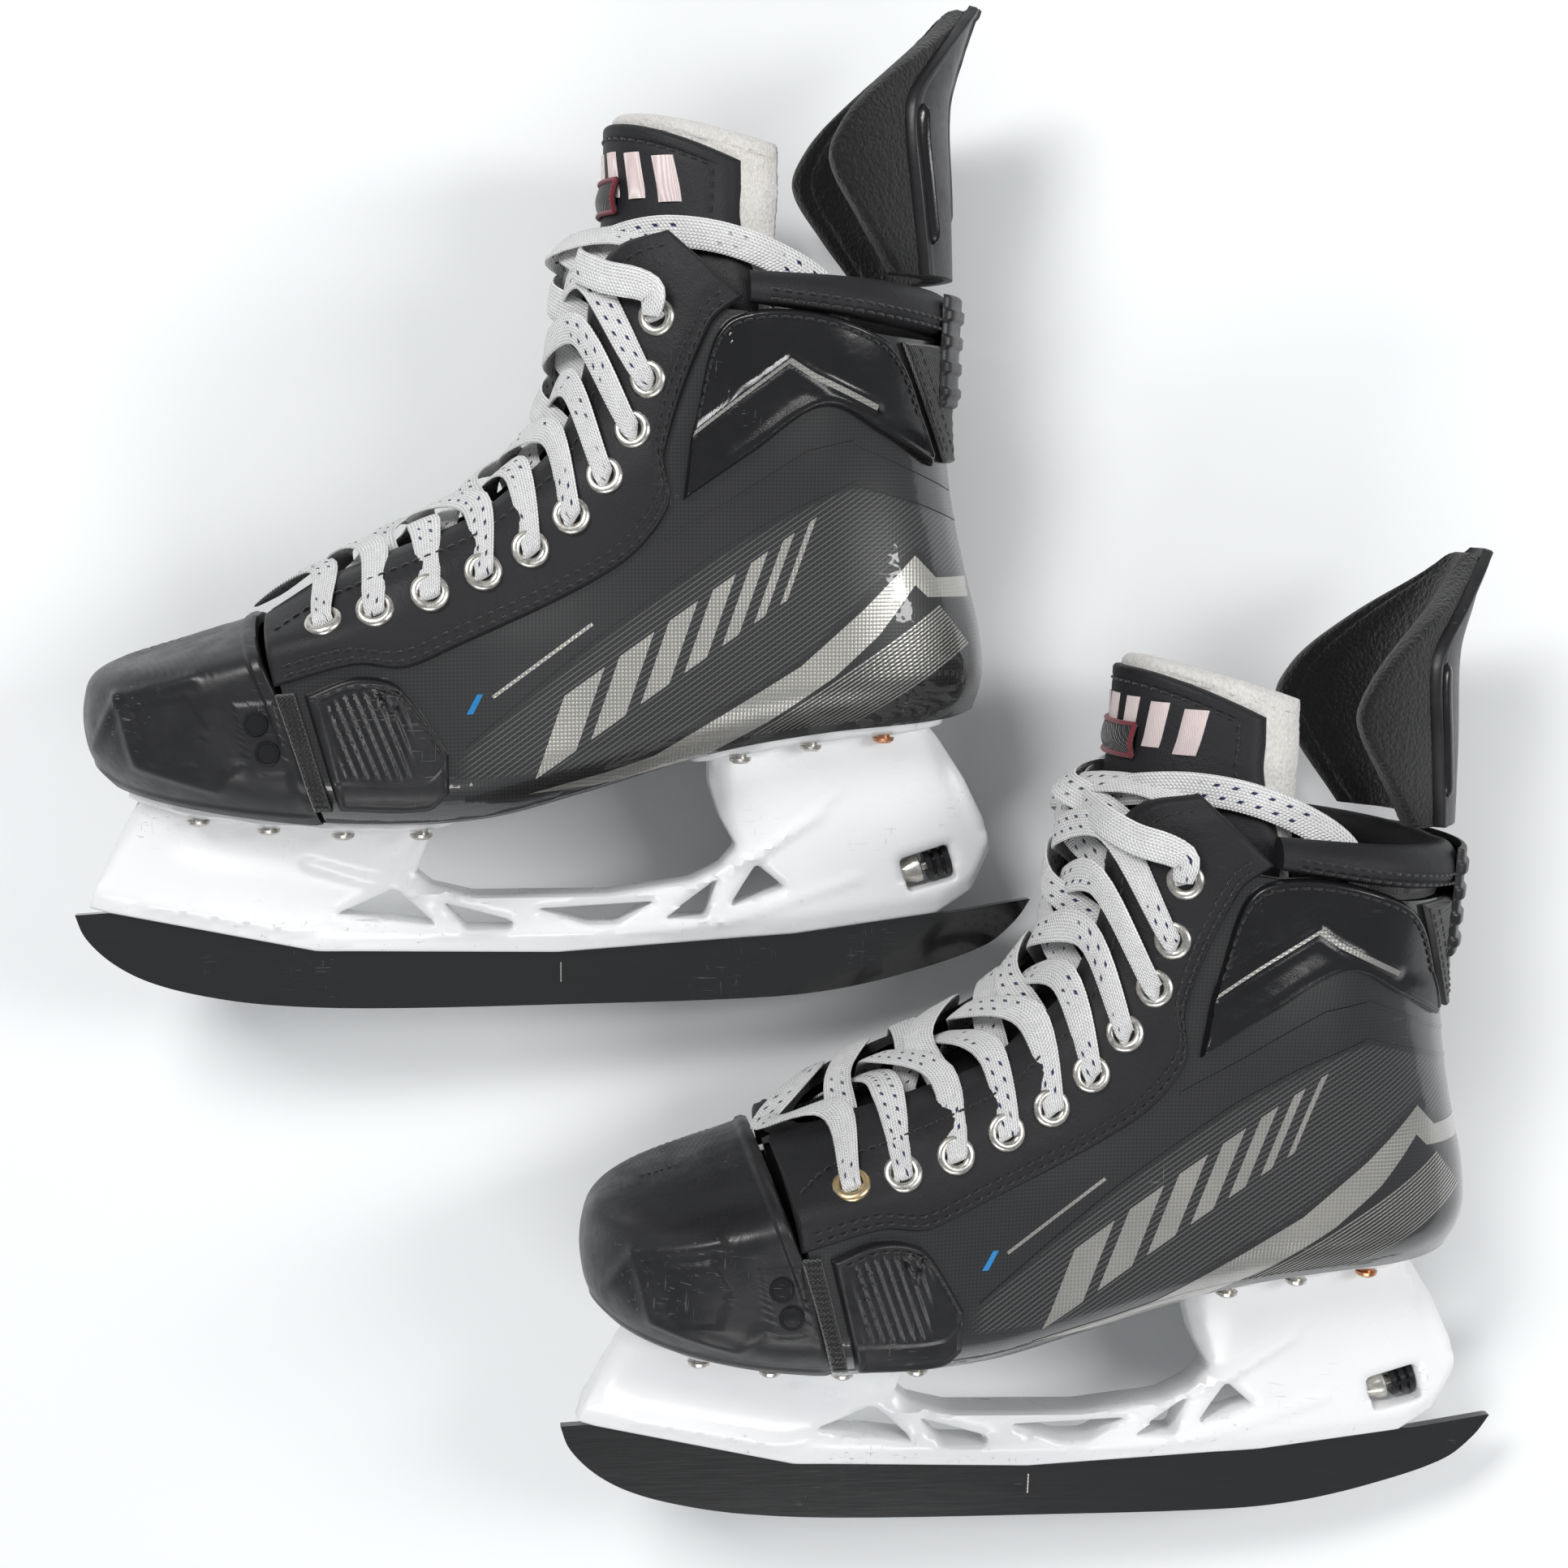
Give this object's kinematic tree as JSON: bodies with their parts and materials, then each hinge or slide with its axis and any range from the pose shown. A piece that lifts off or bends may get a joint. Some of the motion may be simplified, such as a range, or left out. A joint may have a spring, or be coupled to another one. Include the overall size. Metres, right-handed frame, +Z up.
{
  "type": "pair of ice hockey skates",
  "caption": "Pair of ice hockey skates lying on their sides, with moulded boot, lacing, tongue, flexing tendon guard, white blade holder and removable steel runner.",
  "frame": {"origin": "centre of the ground rectangle under the pair as it lies", "axes": "+Z up from the ground, +X towards the heels, +Y from the blades towards the ankles"},
  "size_m": [0.4264, 0.4516, 0.1168],
  "materials": {
    "carbon_shell": "clear-coated black carbon weave with fine silver pinstripes",
    "satin_plastic": "satin black moulded plastic, scuffed",
    "synthetic_leather": "matte charcoal synthetic leather with dashed stitching",
    "webbing": "black woven webbing",
    "lining_fabric": "black brushed lining over foam",
    "black_felt": "black fuzzy felt over foam",
    "white_felt": "white wool-like felt",
    "loop_webbing": "black webbing with dark red edges",
    "white_lace": "flat white woven lace with navy tracer dashes",
    "nickel": "brushed nickel",
    "white_nylon": "glossy white moulded nylon with scuffs",
    "coated_steel": "polished black coated steel"
  },
  "bodies": {
    "left_boot": {"left_shell": "carbon_shell", "left_outsole": "carbon_shell", "left_toe_cap": "satin_plastic", "left_toe_plugs": "satin_plastic", "left_toe_band": "webbing", "left_side_overlays": "satin_plastic", "left_eyestays": "synthetic_leather", "left_eyelets": "nickel", "left_ankle_panels": "satin_plastic", "left_heel_panel": "webbing", "left_collar": "synthetic_leather", "left_liner": "lining_fabric", "left_footbed": "lining_fabric", "left_tongue_lower": "synthetic_leather", "left_tongue_felt_lower": "white_felt", "left_lace": "white_lace", "left_lace_ends": "white_lace", "left_guard_base": "satin_plastic", "left_holder": "white_nylon", "left_rivets": "nickel", "left_lock_screw": "nickel"},
    "left_guard": {"left_tendon_guard": "satin_plastic", "left_tendon_pad": "black_felt"},
    "left_tongue": {"left_tongue_upper": "synthetic_leather", "left_tongue_felt_upper": "white_felt", "left_lace_loop": "loop_webbing"},
    "left_runner": {"left_runner": "coated_steel"},
    "left_dial": {"left_lock_dial": "satin_plastic"},
    "left_bolt": {"left_lock_bolt": "nickel"},
    "right_boot": {"right_shell": "carbon_shell", "right_outsole": "carbon_shell", "right_toe_cap": "satin_plastic", "right_toe_plugs": "satin_plastic", "right_toe_band": "webbing", "right_side_overlays": "satin_plastic", "right_eyestays": "synthetic_leather", "right_eyelets": "nickel", "right_ankle_panels": "satin_plastic", "right_heel_panel": "webbing", "right_collar": "synthetic_leather", "right_liner": "lining_fabric", "right_footbed": "lining_fabric", "right_tongue_lower": "synthetic_leather", "right_tongue_felt_lower": "white_felt", "right_lace": "white_lace", "right_lace_ends": "white_lace", "right_guard_base": "satin_plastic", "right_holder": "white_nylon", "right_rivets": "nickel", "right_lock_screw": "nickel"},
    "right_guard": {"right_tendon_guard": "satin_plastic", "right_tendon_pad": "black_felt"},
    "right_tongue": {"right_tongue_upper": "synthetic_leather", "right_tongue_felt_upper": "white_felt", "right_lace_loop": "loop_webbing"},
    "right_runner": {"right_runner": "coated_steel"},
    "right_dial": {"right_lock_dial": "satin_plastic"},
    "right_bolt": {"right_lock_bolt": "nickel"}
  },
  "joints": [
    {"name": "left_guard_flex", "type": "hinge", "parent": "left_boot", "child": "left_guard", "pos_m": [0.04425, 0.14608, 0.0474], "axis": [-0.1484, 0.1285, -0.9806], "range_deg": [0, 30], "stiffness_Nm_per_rad": 2},
    {"name": "left_tongue_flex", "type": "hinge", "parent": "left_boot", "child": "left_tongue", "pos_m": [-0.05886, 0.16011, 0.06483], "axis": [0.1484, -0.1285, 0.9806], "range_deg": [0, 55], "stiffness_Nm_per_rad": 0.3},
    {"name": "left_runner_release", "type": "slide", "parent": "left_boot", "child": "left_runner", "axis": [-0.0054, -0.9916, -0.1291], "range_m": [0, 0.0025]},
    {"name": "left_dial_turn", "type": "hinge", "parent": "left_boot", "child": "left_dial", "pos_m": [0.03775, -0.02852, 0.0255], "axis": [0.9473, 0.3031, -0.1036], "range_deg": [0, 360]},
    {"name": "left_bolt_slide", "type": "slide", "parent": "left_boot", "child": "left_bolt", "axis": [0.9473, 0.3031, -0.1036], "range_m": [0, 0.0014]},
    {"name": "right_guard_flex", "type": "hinge", "parent": "right_boot", "child": "right_guard", "pos_m": [0.19216, -0.01286, 0.04807], "axis": [-0.1286, 0.133, -0.9827], "range_deg": [0, 30], "stiffness_Nm_per_rad": 2},
    {"name": "right_tongue_flex", "type": "hinge", "parent": "right_boot", "child": "right_tongue", "pos_m": [0.08932, 0.00458, 0.06388], "axis": [0.1286, -0.133, 0.9827], "range_deg": [0, 55], "stiffness_Nm_per_rad": 0.3},
    {"name": "right_runner_release", "type": "slide", "parent": "right_boot", "child": "right_runner", "axis": [-0.0363, -0.9909, -0.1294], "range_m": [0, 0.03]},
    {"name": "right_dial_turn", "type": "hinge", "parent": "right_boot", "child": "right_dial", "pos_m": [0.18023, -0.18716, 0.02604], "axis": [0.9583, 0.2715, -0.0887], "range_deg": [0, 360]},
    {"name": "right_bolt_slide", "type": "slide", "parent": "right_boot", "child": "right_bolt", "axis": [0.9583, 0.2715, -0.0887], "range_m": [0, 0.0014]},
    {"name": "right_lift", "type": "slide", "parent": "left_boot", "child": "right_boot", "axis": [0, 0, 1], "range_m": [0, 0.15]}
  ],
  "couplings": [
    {"joint": "left_dial_turn", "follows": "left_bolt_slide", "rad_per_m": 4488},
    {"joint": "right_dial_turn", "follows": "right_bolt_slide", "rad_per_m": 4488}
  ]
}
